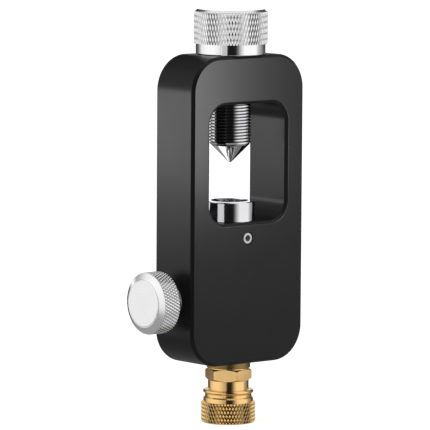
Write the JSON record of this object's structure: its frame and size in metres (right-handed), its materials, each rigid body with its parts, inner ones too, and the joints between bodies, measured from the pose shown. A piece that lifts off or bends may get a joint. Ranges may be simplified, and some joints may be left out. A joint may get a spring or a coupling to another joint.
{
  "type": "cylinder filling yoke",
  "caption": "Clamp yoke that locks a knurled screw point against a cylinder valve seated in a cup, with a bleed valve and a quick coupler outlet.",
  "frame": {"origin": "centre of the inlet cup's rim, on the clamp screw's axis", "axes": "+Z along the clamp screw's axis from the cup towards the knob, +X across the block away from the bleed knob, -Y out of the front face with the lock screw"},
  "size_m": [0.0759, 0.0306, 0.1724],
  "materials": {
    "black_anodised": "satin black anodised aluminium",
    "polished_steel": "turned and polished stainless steel",
    "turned_aluminium": "bright turned and knurled aluminium",
    "socket_steel": "plain steel",
    "spring_steel": "drawn wire",
    "ball_steel": "ground and polished",
    "brass": "turned brass, lacquered",
    "sintered_bronze": "sintered, matt",
    "seal_rubber": "matt",
    "seal_plastic": "natural white"
  },
  "bodies": {
    "yoke": {"yoke_body": "black_anodised", "inlet_seat": "polished_steel", "inlet_oring": "seal_rubber", "seat_oring": "seal_rubber", "inlet_filter": "sintered_bronze", "filter_ring": "spring_steel", "seat_lock_screw": "socket_steel", "bleed_gland": "polished_steel", "gland_oring": "seal_rubber", "stem_oring": "seal_rubber", "coupler_body": "brass", "coupler_washer": "brass", "coupler_oring": "seal_rubber", "backup_ring": "seal_plastic", "sleeve_ring": "spring_steel", "sleeve_spring": "spring_steel"},
    "point": {"thrust_point": "polished_steel"},
    "screw": {"clamp_screw": "polished_steel", "point_ring": "spring_steel", "clamp_knob": "turned_aluminium"},
    "pad": {"bleed_pad": "seal_plastic"},
    "bleed_screw": {"bleed_stem": "polished_steel", "bleed_knob": "turned_aluminium"},
    "sleeve": {"coupler_sleeve": "brass"},
    "ball_1": {"locking_ball_1": "ball_steel"},
    "ball_2": {"locking_ball_2": "ball_steel"},
    "ball_3": {"locking_ball_3": "ball_steel"},
    "ball_4": {"locking_ball_4": "ball_steel"},
    "ball_5": {"locking_ball_5": "ball_steel"},
    "ball_6": {"locking_ball_6": "ball_steel"}
  },
  "joints": [
    {"name": "clamp_travel", "type": "slide", "parent": "yoke", "child": "point", "axis": [0, 0, 1], "range_m": [0, 0.02413]},
    {"name": "clamp_turn", "type": "hinge", "parent": "point", "child": "screw", "pos_m": [0, 0, 0.06], "axis": [0, 0, 1], "range_deg": [0, 6840]},
    {"name": "bleed_travel", "type": "slide", "parent": "yoke", "child": "pad", "axis": [-1, 0, 0], "range_m": [0, 0.0014]},
    {"name": "bleed_turn", "type": "hinge", "parent": "pad", "child": "bleed_screw", "pos_m": [-0.03, 0, -0.0399], "axis": [-1, 0, 0], "range_deg": [0, 720]},
    {"name": "sleeve_slide", "type": "slide", "parent": "yoke", "child": "sleeve", "axis": [0, 0, 1], "range_m": [0, 0.0034], "stiffness_N_per_m": 1500, "springref_m": -0.004, "deforming": ["sleeve_spring"]},
    {"name": "ball_1_release", "type": "slide", "parent": "yoke", "child": "ball_1", "axis": [1, 0, 0], "range_m": [0, 0.00061]},
    {"name": "ball_2_release", "type": "slide", "parent": "yoke", "child": "ball_2", "axis": [0.5, 0.866, 0], "range_m": [0, 0.00061]},
    {"name": "ball_3_release", "type": "slide", "parent": "yoke", "child": "ball_3", "axis": [-0.5, 0.866, 0], "range_m": [0, 0.00061]},
    {"name": "ball_4_release", "type": "slide", "parent": "yoke", "child": "ball_4", "axis": [-1, 0, 0], "range_m": [0, 0.00061]},
    {"name": "ball_5_release", "type": "slide", "parent": "yoke", "child": "ball_5", "axis": [-0.5, -0.866, 0], "range_m": [0, 0.00061]},
    {"name": "ball_6_release", "type": "slide", "parent": "yoke", "child": "ball_6", "axis": [0.5, -0.866, 0], "range_m": [0, 0.00061]}
  ],
  "couplings": [
    {"joint": "clamp_turn", "follows": "clamp_travel", "rad_per_m": 4947.4},
    {"joint": "bleed_turn", "follows": "bleed_travel", "rad_per_m": 8976},
    {"joint": "ball_1_release", "follows": "sleeve_slide", "ratio": 0.1765},
    {"joint": "ball_2_release", "follows": "sleeve_slide", "ratio": 0.1765},
    {"joint": "ball_3_release", "follows": "sleeve_slide", "ratio": 0.1765},
    {"joint": "ball_4_release", "follows": "sleeve_slide", "ratio": 0.1765},
    {"joint": "ball_5_release", "follows": "sleeve_slide", "ratio": 0.1765},
    {"joint": "ball_6_release", "follows": "sleeve_slide", "ratio": 0.1765}
  ]
}
